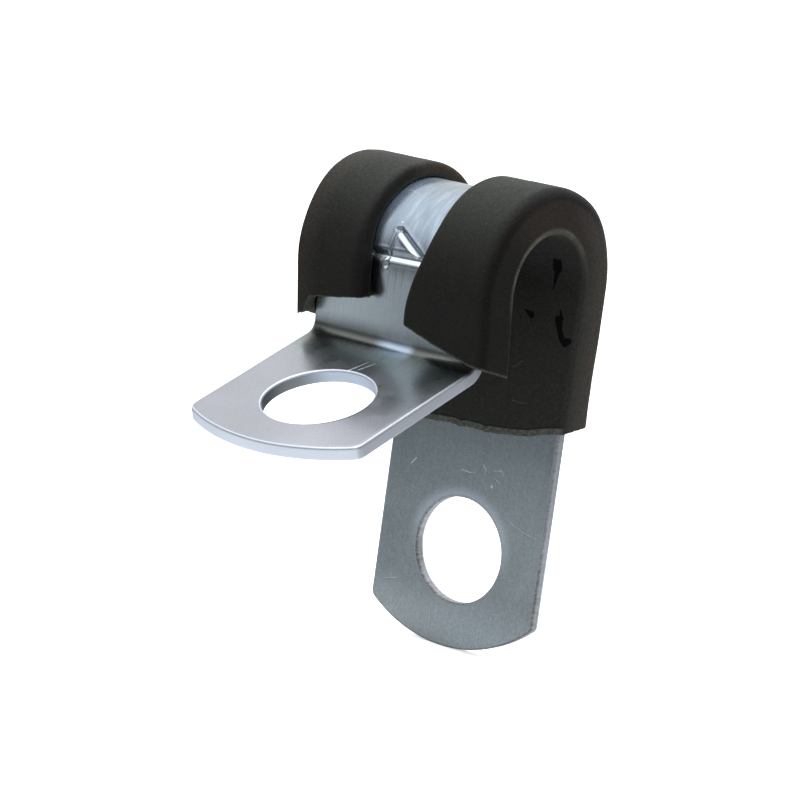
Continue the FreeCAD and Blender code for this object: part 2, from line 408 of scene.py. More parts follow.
def channel_sections(stations):
    """x and n of the whole channel section at each station: [station, place round the channel, layer]."""
    _, _, inner = section_stations()
    left = channel_half(gap_half(stations, -1), -1)
    right = channel_half(gap_half(stations, 1), 1)
    rows = len(stations)
    span = np.tile(2 * inner[1:-1] - 1, (rows, 1))
    floor_x, floor_n = LINER_HALF * span, 0 * span + INNER_OUT
    for side in (-1, 1):
        floor_x, floor_n = rounded(floor_x, floor_n, side * LINER_HALF, INNER_OUT, RIM_ROUND, -side, 1)
    outer_x = np.concatenate([left[0], floor_x, right[0][:, ::-1]], 1)
    outer_n = np.concatenate([left[1], floor_n, right[1][:, ::-1]], 1)
    seat_x = np.concatenate([left[2], SEAT_HALF * span, right[2][:, ::-1]], 1)
    seat_n = np.concatenate([left[3], 0 * span - BAND_THICKNESS - SEAT_GAP, right[3][:, ::-1]], 1)
    share = np.linspace(0, 1, LAYERS + 1)
    x = outer_x[..., None] * (1 - share) + seat_x[..., None] * share
    n = outer_n[..., None] * (1 - share) + seat_n[..., None] * share
    for side in (-1, 1):
        edge = gap_half(stations, side)[:, None]
        for wanted in range(8):
            at = wanted if side < 0 else -1 - wanted
            ex, en = np.abs(x[:, at]), n[:, at]
            ex, en = rounded(ex, en, edge, LIP_OUT, LIP_ROUND, 1, -1)
            ex, en = rounded(ex, en, edge, SEAT_GAP, 0.08, 1, 1)
            x[:, at], n[:, at] = side * ex, en
    return x, n


def rear_end(x, n):
    """Where the liner ends on the rear leg, with its ragged cut and two small flaps left by the blade."""
    end = REAR_END + SKEW * x + SLANT * (n - LIP_OUT)
    lip = smooth_step(-0.1, 0.0, n) * smooth_step(6.5, 6.3, np.abs(x))
    end = end + lip * (LIP_RISE * (6.5 - np.abs(x)) + SLANT * (LIP_OUT - n))
    inner = (LIP_OUT - n) / (LIP_OUT - INNER_OUT)
    end = end + smooth_step(4.0, 7.4, x) * (0.46 * inner - 0.10 * (1 - inner))
    end = end - 0.14 * np.exp(-((x - 2.2) / 2.0) ** 2) * inner
    for at, width, size in ((-0.35, 0.25, 0.10), (1.55, 0.18, 0.09), (4.9, 0.3, 0.03)):
        end = end - size * np.exp(-((x - at) / width) ** 2) * smooth_step(-1.2, -1.7, n)
    return end


def front_end(x, n):
    """Where the liner ends on the front leg: the lips drawn back, the left wall torn."""
    end = FRONT_END + SKEW * x + SLANT * (LIP_OUT - n)
    torn = smooth_step(-5.9, -6.6, x)
    end = end + torn * (0.08 + 0.30 * n * smooth_step(-0.8, 0.9, n))
    end = end - 0.20 * np.clip(1 - ((x + 6.85) / 0.40) ** 2, 0, 1)
    lip = smooth_step(-0.1, 0.0, n)
    back = LIP_RISE * (6.5 - np.abs(x)) + SLANT * (LIP_OUT - n)
    left = (LEFT_SETBACK * smooth_step(-6.75, -6.05, x) + back) * (x < 0) * smooth_step(-6.75, -6.4, x)
    bow = 0.07 * np.clip(1 - ((x - 3.7) / 2.6) ** 2, 0, 1)
    right = (back - bow) * (x > 0) * smooth_step(6.55, 6.3, x)
    return end - lip * (left + right)


def liner_stations(x, n):
    """Lengths along the band for every line of the channel, crowded together near its cut ends."""
    low, high = rear_end(x, n), front_end(x, n)
    share = np.linspace(0, 1, 24)
    ease = share ** 1.15
    first = low[None] + (12.0 - low[None]) * ease[:, None, None]
    middle = np.linspace(12.0, 33.6, 128)[1:-1][:, None, None] + 0 * low[None]
    last = 33.6 + (high[None] - 33.6) * (1 - ease[::-1])[:, None, None]
    return np.concatenate([first, middle, last])


def surface_faces(ids):
    first, second = ids[:-1, :-1].ravel(), ids[1:, :-1].ravel()
    third, fourth = ids[1:, 1:].ravel(), ids[:-1, 1:].ravel()
    return [tuple(int(v) for v in q) for q in zip(first, second, third, fourth)]


def rubber_liner():
    probe = np.array([9.0, 38.0])
    x, n = channel_sections(probe)
    s = liner_stations(x[0], n[0])
    s[-24:] = liner_stations(x[1], n[1])[-24:]
    centre_line = s.mean(axis=(1, 2))
    x, n = channel_sections(centre_line)
    keep = np.zeros(x.shape, bool)
    keep[[0, -1]] = True
    keep[:, [0, -1]] = True
    keep[:, :, [0, -1]] = True
    ids = np.full(x.shape, -1)
    ids[keep] = np.arange(keep.sum())
    px, ps, pn = x[keep], s[keep], n[keep]
    low = np.broadcast_to(s[0][None], s.shape)[keep]
    high = np.broadcast_to(s[-1][None], s.shape)[keep]
    rough = np.stack([px * 1.0, pn * 1.4, 0 * px], -1)
    frayed = 0.035 * wavy(rough, 1.3, 1) + 0.028 * wavy(rough, 4.2, 2) + 0.014 * wavy(rough, 9.0, 6)
    nearness_low = np.exp(-((ps - low) / 0.35) ** 2)
    nearness_high = np.exp(-((high - ps) / 0.35) ** 2)
    ps = ps + frayed * nearness_low - frayed * nearness_high
    solid = strip_place(px, ps, pn, False)
    swell = 0.022 * wavy(solid, 0.42, 4) + 0.010 * wavy(solid, 1.3, 5)
    inward = 0.10 * smooth_step(15.5, 12.5, ps) * smooth_step(8.5, 11.0, ps) * (pn > 0)
    proud = 0.24 * np.exp(-((ps - 30.2) / 2.6) ** 2) * smooth_step(-3.0, -6.0, px)
    proud = proud + 0.13 * np.exp(-((ps - 22.3) / 1.8) ** 2) * smooth_step(4.0, 6.5, px)
    step_in = 0.07 * smooth_step(0.42, 0.30, ps - low) * smooth_step(-1.85, -1.93, pn)
    shaped = pn + np.where(pn > 0.2, swell + proud - inward, 0) - np.where(pn < -1.3, swell - 0.03, 0) + step_in
    pinch = 0.10 * smooth_step(27.0, 32.0, ps) + 0.36 * smooth_step(33.0, 40.5, ps)
    narrowed = np.where(px < -SEAT_HALF, -SEAT_HALF + (px + SEAT_HALF) * (1 - pinch), px)
    points = strip_place(narrowed, ps, shaped, False)
    points = np.clip(points, box_low("rubber_liner"), box_high("rubber_liner"))
    faces = surface_faces(ids[:, :, 0]) + surface_faces(ids[:, :, -1])
    faces += surface_faces(ids[:, 0, :]) + surface_faces(ids[:, -1, :])
    faces += surface_faces(ids[0]) + surface_faces(ids[-1])
    cut = np.zeros(x.shape)
    cut[[0, -1]] = 1
    facts = {
        "seat": np.stack([px, ps, pn], -1),
        "cut": cut[keep],
        "from_end": np.minimum(ps - low, high - ps),
    }
    return mesh_object("liner", points, faces, facts)


# Materials


def link(tree, source, target):
    tree.links.new(source, target)


def node(tree, kind, **settings):
    made = tree.nodes.new(kind)
    for key, value in settings.items():
        setattr(made, key, value)
    return made


def math_node(tree, operation, a, b=None, clamp=False):
    made = node(tree, "ShaderNodeMath", operation=operation, use_clamp=clamp)
    for index, value in enumerate((a, b)):
        if value is None:
            continue
        if isinstance(value, (int, float)):
            made.inputs[index].default_value = value
        else:
            link(tree, value, made.inputs[index])
    return made.outputs[0]


def times(tree, a, b):
    return math_node(tree, "MULTIPLY", a, b)


def ramp(tree, source, low, high, to_low=0.0, to_high=1.0, kind="SMOOTHSTEP"):
    made = node(tree, "ShaderNodeMapRange", interpolation_type=kind)
    link(tree, source, made.inputs["Value"])
    for name, value in (("From Min", low), ("From Max", high), ("To Min", to_low), ("To Max", to_high)):
        made.inputs[name].default_value = value
    return made.outputs["Result"]


def mix_colour(tree, factor, a, b, blend="MIX"):
    made = node(tree, "ShaderNodeMix", data_type="RGBA", blend_type=blend)
    for name, value in (("Factor", factor), ("A", a), ("B", b)):
        kinds = ("VALUE", "RGBA") if name == "Factor" else ("RGBA",)
        socket = next(i for i in made.inputs if i.name == name and i.type in kinds)
        if isinstance(value, (int, float)):
            socket.default_value = value
        elif isinstance(value, tuple):
            socket.default_value = (*value, 1)
        else:
            link(tree, value, socket)
    return next(o for o in made.outputs if o.type == "RGBA")


def noise_of(tree, vector, scale, detail=3.0, rough=0.55):
    made = node(tree, "ShaderNodeTexNoise")
    link(tree, vector, made.inputs["Vector"])
    made.inputs["Scale"].default_value = scale
    made.inputs["Detail"].default_value = detail
    made.inputs["Roughness"].default_value = rough
    return made.outputs["Fac"]


def stretched(tree, vector, scale):
    made = node(tree, "ShaderNodeMapping", vector_type="POINT")
    link(tree, vector, made.inputs["Vector"])
    made.inputs["Scale"].default_value = scale
    return made.outputs["Vector"]


def group_with(name, inputs, outputs):
    tree = bpy.data.node_groups.new(name, "ShaderNodeTree")
    for label, kind, value in inputs:
        socket = tree.interface.new_socket(label, in_out="INPUT", socket_type=kind)
        if value is not None:
            socket.default_value = value
    for label, kind in outputs:
        tree.interface.new_socket(label, in_out="OUTPUT", socket_type=kind)
    return tree, tree.nodes.new("NodeGroupInput"), tree.nodes.new("NodeGroupOutput")


def stroke_group():
    """A mask along a straight stroke on the flattened strip, used for scratches and marks."""
    inputs = [("Place", "NodeSocketVector", None), ("From", "NodeSocketVector", None), ("To", "NodeSocketVector", None),
              ("Start Width", "NodeSocketFloat", 0.1), ("End Width", "NodeSocketFloat", 0.1),
              ("Soft", "NodeSocketFloat", 0.03)]
    tree, inside, outside = group_with("stroke", inputs, [("Mask", "NodeSocketFloat")])

    def vector(operation, a, b):
        made = node(tree, "ShaderNodeVectorMath", operation=operation)
        link(tree, a, made.inputs[0])
        if operation == "SCALE":
            link(tree, b, made.inputs["Scale"])
        elif b is not None:
            link(tree, b, made.inputs[1])
        return made.outputs["Value"] if operation in ("DOT_PRODUCT", "LENGTH") else made.outputs["Vector"]

    off = vector("SUBTRACT", inside.outputs["Place"], inside.outputs["From"])
    run = vector("SUBTRACT", inside.outputs["To"], inside.outputs["From"])
    share = math_node(tree, "DIVIDE", vector("DOT_PRODUCT", off, run), vector("DOT_PRODUCT", run, run), clamp=True)
    distance = vector("LENGTH", vector("SUBTRACT", off, vector("SCALE", run, share)), None)
    spread = math_node(tree, "SUBTRACT", inside.outputs["End Width"], inside.outputs["Start Width"])
    width = math_node(tree, "ADD", times(tree, spread, share), inside.outputs["Start Width"])
    depth = math_node(tree, "DIVIDE", math_node(tree, "SUBTRACT", width, distance), inside.outputs["Soft"])
    mask = ramp(tree, depth, -1, 1)
    link(tree, mask, outside.inputs["Mask"])
    return tree


def specks_group():
    """Scattered fine specks of dust and small pits, by place in millimetres."""
    inputs = [("Place", "NodeSocketVector", None), ("Scale", "NodeSocketFloat", 1.0), ("Share", "NodeSocketFloat", 0.1),
              ("Size", "NodeSocketFloat", 0.1)]
    tree, inside, outside = group_with("specks", inputs, [("Mask", "NodeSocketFloat")])
    cells = node(tree, "ShaderNodeTexVoronoi", feature="F1", distance="EUCLIDEAN")
    link(tree, inside.outputs["Place"], cells.inputs["Vector"])
    link(tree, inside.outputs["Scale"], cells.inputs["Scale"])
    split = node(tree, "ShaderNodeSeparateColor")
    link(tree, cells.outputs["Color"], split.inputs["Color"])
    chosen = math_node(tree, "LESS_THAN", split.outputs["Red"], inside.outputs["Share"])
    size = times(tree, split.outputs["Green"], inside.outputs["Size"])
    within = math_node(tree, "SUBTRACT", size, cells.outputs["Distance"])
    inside_speck = math_node(tree, "DIVIDE", within, 0.04, clamp=True)
    link(tree, times(tree, chosen, inside_speck), outside.inputs["Mask"])
    return tree


STROKE = stroke_group()
SPECKS = specks_group()


def strokes(tree, place, marks, soft):
    """The strongest of several strokes: (x, s), (x, s), start half width, end half width."""
    total = None
    for start, end, first, last in marks:
        made = node(tree, "ShaderNodeGroup", node_tree=STROKE)
        link(tree, place, made.inputs["Place"])
        made.inputs["From"].default_value = (*start, 0)
        made.inputs["To"].default_value = (*end, 0)
        made.inputs["Start Width"].default_value = first
        made.inputs["End Width"].default_value = last
        made.inputs["Soft"].default_value = soft
        total = made.outputs["Mask"] if total is None else math_node(tree, "MAXIMUM", total, made.outputs["Mask"])
    return total


def specks(tree, place, scale, share, size):
    made = node(tree, "ShaderNodeGroup", node_tree=SPECKS)
    link(tree, place, made.inputs["Place"])
    for name, value in (("Scale", scale), ("Share", share), ("Size", size)):
        made.inputs[name].default_value = value
    return made.outputs["Mask"]


def flat_place(tree, seat, wobble_scale, wobble):
    """Place on the flattened strip as (x, s, 0), with a small wobble so that strokes aren't ruled lines."""
    split = node(tree, "ShaderNodeSeparateXYZ")
    link(tree, seat, split.inputs[0])
    rough = noise_of(tree, seat, wobble_scale, 2.0)
    shift = times(tree, math_node(tree, "SUBTRACT", rough, 0.5), wobble)
    join = node(tree, "ShaderNodeCombineXYZ")
    link(tree, math_node(tree, "ADD", split.outputs["X"], shift), join.inputs["X"])
    link(tree, math_node(tree, "SUBTRACT", split.outputs["Y"], shift), join.inputs["Y"])
    return join.outputs[0], split


def attribute(tree, name, output):
    made = node(tree, "ShaderNodeAttribute", attribute_type="GEOMETRY", attribute_name=name)
    return made.outputs[output]


def from_bend(tree, along, start, full, gone, fades):
    """A mask over a stretch past the start of the bend: it rises from start to full and fades from fades to gone."""
    rise = ramp(tree, along, BEND_START + start, BEND_START + full)
    return times(tree, rise, ramp(tree, along, BEND_START + gone, BEND_START + fades))


def new_material(name):
    material = bpy.data.materials.new(name)
    material.use_nodes = True
    tree = material.node_tree
    return material, tree, tree.nodes["Principled BSDF"]


def zinc_plated_steel():
    material, tree, shader = new_material("zinc_plated_steel")
    shader.inputs["Metallic"].default_value = 1.0
    seat = attribute(tree, "seat", "Vector")
    edge = attribute(tree, "edge", "Fac")
    place, split = flat_place(tree, seat, 1.3, 0.10)
    grain = noise_of(tree, stretched(tree, seat, (9.0, 0.35, 0.0)), 1.0, 4.0, 0.7)
    streak = noise_of(tree, stretched(tree, seat, (2.2, 0.09, 0.0)), 1.0, 3.0, 0.6)
    cloud = noise_of(tree, seat, 0.35, 3.0, 0.5)
    spangle = noise_of(tree, seat, 5.0, 3.0, 0.6)
    colour = mix_colour(tree, ramp(tree, streak, 0.3, 0.7), (0.375, 0.425, 0.430), (0.43, 0.48, 0.485))
    colour = mix_colour(tree, ramp(tree, cloud, 0.35, 0.7, 0.0, 0.35), colour, (0.42, 0.45, 0.45))
    along = split.outputs["Y"]
    on_bent = ramp(tree, along, BEND_START + 2.2, BEND_START + 4.5)
    colour = mix_colour(tree, times(tree, on_bent, 0.85), colour, (0.450, 0.445, 0.475))
    # Painted reflection: the bent tab is painted lighter towards its front right.
    on_front = ramp(tree, along, BEND_START + 7.5, BEND_START + 10.0)
    front_right = times(tree, on_front, ramp(tree, split.outputs["X"], 0.0, 3.5))
    colour = mix_colour(tree, times(tree, front_right, 0.8), colour, (0.56, 0.555, 0.59))
    # Painted shade and painted reflection on the straight tab: darker than the band above it, lighter towards its tip,
    # and scaled lighter to the right.
    colour = mix_colour(tree, ramp(tree, along, 10.0, 8.5, 0.0, 0.75), colour, (0.235, 0.262, 0.262))
    colour = mix_colour(tree, ramp(tree, along, -2.0, -6.2, 0.0, 0.95), colour, (0.52, 0.57, 0.57))
    gain_left, gain_right = ramp(tree, along, -0.5, 2.5, 0.84, 1.05), ramp(tree, along, 0.0, 4.0, 1.08, 1.20)
    to_right = ramp(tree, split.outputs["X"], -5.0, 5.0, 0.0, 1.0, "LINEAR")
    gain = times(tree, math_node(tree, "SUBTRACT", gain_right, gain_left), to_right)
    gain = math_node(tree, "ADD", gain, gain_left)
    colour = mix_colour(tree, ramp(tree, along, 8.0, 5.5), colour, mix_colour(tree, 1.0, colour, gain, "MULTIPLY"))
    # Painted light: the front leg below the struck number is painted lighter, most on its left.
    on_leg = times(tree, ramp(tree, along, 33.9, 35.2), ramp(tree, along, BEND_START + 0.1, BEND_START - 0.9))
    on_leg = times(tree, on_leg, ramp(tree, split.outputs["X"], 3.0, -4.5, 0.25, 0.95))
    colour = mix_colour(tree, on_leg, colour, (0.80, 0.87, 0.88))
    on_crown = times(tree, ramp(tree, along, 24.0, 27.0), ramp(tree, along, 34.5, 33.0))
    colour = mix_colour(tree, times(tree, on_crown, 0.6), colour, (0.40, 0.455, 0.52))
    swept = noise_of(tree, stretched(tree, seat, (1.9, 0.40, 0.0)), 1.0, 3.0, 0.6)
    pale = times(tree, ramp(tree, swept, 0.50, 0.66), on_crown)
    colour = mix_colour(tree, times(tree, pale, 0.38), colour, (0.66, 0.71, 0.78))
    dim = times(tree, ramp(tree, swept, 0.48, 0.34), on_crown)
    colour = mix_colour(tree, times(tree, dim, 0.30), colour, (0.25, 0.285, 0.33))
    brushed = ramp(tree, along, BEND_START - 1.0, BEND_START + 1.0, 1.0, 0.15)
    fine = noise_of(tree, seat, 7.0, 3.0, 0.75)
    speckle = mix_colour(tree, ramp(tree, fine, 0.3, 0.7), (0.86, 0.86, 0.86), (1.12, 1.12, 1.12))
    speckled = mix_colour(tree, 1.0, colour, speckle, "MULTIPLY")
    colour = mix_colour(tree, ramp(tree, along, 12.0, 8.0, 0.35, 1.0), colour, speckled)
    lines = times(tree, ramp(tree, grain, 0.35, 0.65, 0.14, 0.0), brushed)
    colour = mix_colour(tree, lines, colour, (0.22, 0.24, 0.25))
    # Painted highlight: a light ring round the upper half of the straight tab's hole.
    centre = node(tree, "ShaderNodeVectorMath", operation="LENGTH")
    link(tree, stretched(tree, seat, (1.0, 1.0, 0.0)), centre.inputs[0])
    hole_highlight = times(tree, ramp(tree, centre.outputs["Value"], 4.3, 3.45), ramp(tree, along, -1.5, 2.5))
    colour = mix_colour(tree, times(tree, hole_highlight, 0.55), colour, (0.62, 0.68, 0.72))
    # Painted shade along the bend: a dark band past its start and a darker line in the fold, both kept off the middle,
    # where a painted glint lies instead.
    bend_shade = from_bend(tree, along, -0.35, 0.35, 3.4, 0.9)
    clear = times(tree, ramp(tree, split.outputs["X"], -1.6, -0.1), ramp(tree, split.outputs["X"], 1.9, 1.1))
    fewer = ramp(tree, split.outputs["X"], 2.0, 5.0, 1.0, 0.6)
    shade_across = times(tree, math_node(tree, "SUBTRACT", 1.0, clear), fewer)
    bend_shade = times(tree, bend_shade, shade_across)
    colour = mix_colour(tree, times(tree, bend_shade, 0.70), colour, (0.25, 0.24, 0.205))
    fold_shade = from_bend(tree, along, 0.05, 0.4, 1.3, 0.8)
    fold_shade = times(tree, fold_shade, shade_across)
    colour = mix_colour(tree, times(tree, fold_shade, 0.62), colour, (0.125, 0.120, 0.100))
    glint = from_bend(tree, along, -0.1, 0.3, 1.7, 0.9)
    colour = mix_colour(tree, times(tree, times(tree, glint, clear), 0.6), colour, (0.60, 0.72, 0.86))
    # Painted dark reflection on the bent tab's right, past the bend.
    dark_reflection = from_bend(tree, along, 0.9, 2.0, 8.0, 4.5)
    dark_reflection = times(tree, dark_reflection, ramp(tree, split.outputs["X"], 1.5, 3.5))
    colour = mix_colour(tree, times(tree, dark_reflection, 0.45), colour, (0.26, 0.30, 0.295))
    colour = mix_colour(tree, edge, colour, (0.66, 0.68, 0.70))
    # The bent tab's cut walls are painted as light and shade: near white along the front, darker on the sides and on
    # the rolled-over rounding, bluish in the hole and dark on the hole's left.
    bent_edge = times(tree, edge, ramp(tree, along, BEND_START + 1.0, BEND_START + 2.0))
    depth = times(tree, split.outputs["Z"], -1.0)
    on_side = ramp(tree, math_node(tree, "ABSOLUTE", split.outputs["X"]), 6.15, 6.30)
    wall = mix_colour(tree, on_side, (0.92, 0.95, 0.99), (0.68, 0.69, 0.72))
    hole_left = ramp(tree, split.outputs["X"], -1.5, -3.2)
    in_hole = ramp(tree, along, BENT_HOLE + 4.2, BENT_HOLE + 4.0)
    in_hole = times(tree, in_hole, ramp(tree, math_node(tree, "ABSOLUTE", split.outputs["X"]), 4.2, 4.0))
    wall = mix_colour(tree, times(tree, in_hole, 0.65), wall, (0.56, 0.64, 0.75))
    wall = mix_colour(tree, times(tree, hole_left, in_hole), wall, (0.30, 0.315, 0.31))
    turned = mix_colour(tree, on_side, (0.76, 0.78, 0.82), (0.46, 0.47, 0.49))
    wall = mix_colour(tree, ramp(tree, depth, 0.18, 0.08), wall, turned)
    colour = mix_colour(tree, bent_edge, colour, wall)
    scratches = strokes(tree, place, METAL_SCRATCHES, 0.02)
    outer_face = times(tree, ramp(tree, split.outputs["Z"], -0.2, -0.02), ramp(tree, along, 18.0, 19.0))
    inner_face = times(tree, ramp(tree, split.outputs["Z"], -0.7, -0.78), ramp(tree, along, 19.0, 18.0))
    on_face = math_node(tree, "ADD", outer_face, inner_face)
    scratch = times(tree, scratches, on_face)
    # Painted highlight: near white strokes along the struck number.
    digit_highlight = times(tree, strokes(tree, seat, DIGIT_HIGHLIGHTS, 0.06), outer_face)
    colour = mix_colour(tree, digit_highlight, colour, (0.97, 0.98, 1.0))
    shade = times(tree, strokes(tree, seat, LIP_SHADE, 0.22), outer_face)
    colour = mix_colour(tree, times(tree, shade, 0.9), colour, (0.030, 0.028, 0.032))
    # Painted shade: thin dark lines on the metal along where the rubber meets it.
    contact_shadow = times(tree, strokes(tree, seat, CONTACT_SHADOWS, 0.06), on_face)
    colour = mix_colour(tree, times(tree, contact_shadow, 0.85), colour, (0.012, 0.012, 0.014))
    streaks = times(tree, strokes(tree, place, SOFT_STREAKS, 0.08), outer_face)
    colour = mix_colour(tree, times(tree, streaks, 0.45), colour, (0.12, 0.125, 0.13))
    dots = times(tree, specks(tree, seat, 1.1, 0.16, 0.13), ramp(tree, along, BEND_START + 0.5, BEND_START))
    pits = specks(tree, stretched(tree, seat, (1.0, 1.0, 1.0)), 2.3, 0.07, 0.17)
    bright = math_node(tree, "MAXIMUM", scratch, dots)
    colour = mix_colour(tree, times(tree, bright, 0.6), colour, (0.86, 0.87, 0.88))
    colour = mix_colour(tree, times(tree, pits, 0.5), colour, (0.20, 0.21, 0.22))
    torn = times(tree, edge, ramp(tree, depth, 0.16, 0.26))
    torn = times(tree, torn, ramp(tree, along, BEND_START + 1.0, BEND_START))
    fracture = noise_of(tree, stretched(tree, seat, (7.0, 7.0, 1.6)), 1.0, 4.0, 0.7)
    middle = times(tree, ramp(tree, depth, 0.20, 0.35), ramp(tree, depth, 0.60, 0.50))
    level = math_node(tree, "SUBTRACT", ramp(tree, depth, 0.56, 0.70, 0.75, 1.20), times(tree, middle, 0.30))
    level = math_node(tree, "ADD", level, ramp(tree, along, 2.0, -2.0, 0.0, 0.40))
    level = times(tree, level, ramp(tree, fracture, 0.3, 0.7, 0.35, 0.80))
    colour = mix_colour(tree, times(tree, torn, level), colour, (0.20, 0.19, 0.18))
    link(tree, colour, shader.inputs["Base Color"])
    rough = times(tree, ramp(tree, grain, 0.3, 0.7, -0.03, 0.03), brushed)
    rough = math_node(tree, "ADD", rough, 0.27)
    rough = math_node(tree, "ADD", rough, ramp(tree, cloud, 0.3, 0.7, -0.03, 0.05))
    rough = math_node(tree, "ADD", rough, times(tree, torn, 0.22))
    rough = math_node(tree, "ADD", rough, times(tree, bent_edge, 0.20))
    link(tree, math_node(tree, "ADD", rough, times(tree, scratch, 0.1)), shader.inputs["Roughness"])
    relief = times(tree, grain, ramp(tree, along, BEND_START - 3.0, BEND_START, 0.35, 0.008))
    spangled = times(tree, spangle, ramp(tree, along, BEND_START - 3.0, BEND_START, 0.20, 0.008))
    relief = math_node(tree, "ADD", relief, spangled)
    relief = math_node(tree, "SUBTRACT", relief, times(tree, scratch, 0.8))
    relief = math_node(tree, "ADD", relief, times(tree, times(tree, torn, fracture), 2.0))
    bump = node(tree, "ShaderNodeBump")
    bump.inputs["Strength"].default_value = 0.5
    bump.inputs["Distance"].default_value = 0.02 * MM
    link(tree, relief, bump.inputs["Height"])
    link(tree, bump.outputs["Normal"], shader.inputs["Normal"])
    return material


# Marks as (x, s) from, (x, s) to, half width at each end
# Painted highlight strokes along the struck number.
DIGIT_HIGHLIGHTS = [
    ((-2.20, 34.02), (1.45, 33.95), 0.12, 0.12),
    ((-2.25, 33.72), (-2.10, 34.02), 0.11, 0.12),
    ((-0.72, 32.45), (1.05, 33.58), 0.07, 0.09),
]

LIP_SHADE = [
    ((-1.90, 34.5), (-1.50, 35.95), 0.46, 0.52),
]

# Painted contact shadows: under the left lip's cut end, round the torn foot and under the rear cut end.
CONTACT_SHADOWS = [
    ((-6.0, 37.22), (-2.1, 36.58), 0.06, 0.06),
    ((-6.25, 37.45), (-6.05, 37.25), 0.06, 0.06),
    ((-6.3, 38.3), (-6.25, 37.45), 0.04, 0.06),
    ((-0.85, 7.98), (-0.20, 8.02), 0.05, 0.09),
    ((0.55, 7.98), (0.95, 7.98), 0.02, 0.04),
    ((1.15, 7.94), (1.75, 7.86), 0.03, 0.10),
]

SOFT_STREAKS = [
    ((-0.72, 34.7), (-0.82, 36.4), 0.03, 0.01),
    ((-0.18, 34.6), (-0.22, 36.0), 0.04, 0.01),
    ((0.35, 34.5), (0.30, 35.6), 0.03, 0.01),
]

METAL_SCRATCHES = [
    ((-2.40, 29.08), (-1.60, 29.12), 0.015, 0.02),
    ((-1.60, 29.12), (-1.01, 29.40), 0.02, 0.015),
    ((3.4, 2.75), (4.7, 2.25), 0.012, 0.02),
    ((4.7, 2.25), (5.9, 2.05), 0.02, 0.012),
    ((-0.51, 42.73), (-0.15, 41.40), 0.07, 0.03),
    ((-0.05, 42.45), (0.35, 41.35), 0.03, 0.05),
    ((-4.55, 4.62), (-4.25, 5.02), 0.05, 0.03),
    ((-0.6, 5.08), (0.1, 5.02), 0.02, 0.03),
    ((0.1, 5.02), (0.5, 5.16), 0.02, 0.01),
    ((1.0, 5.75), (1.3, 5.45), 0.015, 0.02),
    ((1.3, 5.45), (1.2, 5.15), 0.02, 0.012),
    ((1.9, 5.55), (2.5, 5.65), 0.012, 0.02),
    ((2.5, 5.65), (2.75, 5.35), 0.02, 0.012),
    ((2.1, 5.05), (2.45, 4.85), 0.015, 0.015),
    ((-5.6, -3.2), (-4.6, -2.9), 0.015, 0.03),
]

RUBBER_BLOTCHES = [
    ((5.50, 20.95), (5.42, 19.60), 0.33, 0.36),
    ((5.42, 19.50), (5.20, 17.80), 0.20, 0.05),
    ((3.36, 16.10), (3.86, 15.90), 0.05, 0.24),
    ((5.96, 16.60), (6.12, 16.05), 0.03, 0.18),
    ((5.93, 15.95), (6.05, 15.60), 0.28, 0.22),
    ((6.00, 15.60), (6.40, 14.80), 0.18, 0.22),
    ((6.62, 14.68), (6.90, 14.82), 0.28, 0.20),
]

RUBBER_SCRATCHES = [
    ((3.1, 12.5), (3.75, 13.0), 0.03, 0.02),
    ((3.35, 10.42), (4.5, 10.40), 0.035, 0.02),
    ((-1.2, 11.6), (-0.8, 11.75), 0.02, 0.02),
]

RUBBER_DUST = [
    ((0.09, 8.94), (0.14, 8.95), 0.05, 0.05),
    ((1.26, 8.81), (1.31, 8.82), 0.06, 0.06),
    ((1.86, 8.80), (1.91, 8.81), 0.05, 0.05),
    ((2.14, 8.76), (2.19, 8.77), 0.05, 0.05),
    ((2.83, 9.20), (2.88, 9.21), 0.055, 0.055),
    ((2.68, 9.49), (2.73, 9.50), 0.035, 0.035),
    ((4.44, 9.19), (4.49, 9.20), 0.05, 0.05),
    ((-1.40, 9.08), (-1.35, 9.09), 0.045, 0.045),
    ((-0.35, 8.97), (-0.30, 8.98), 0.04, 0.04),
    ((2.52, 8.69), (2.57, 8.70), 0.06, 0.06),
    ((1.55, 8.92), (1.60, 8.93), 0.03, 0.03),
    ((0.67, 9.33), (0.72, 9.34), 0.03, 0.03),
]

LOOSE_HAIR = [
    ((-3.05, 29.30), (-2.80, 28.95), 0.03, 0.03),
    ((-2.80, 28.95), (-2.35, 29.05), 0.03, 0.02),
]


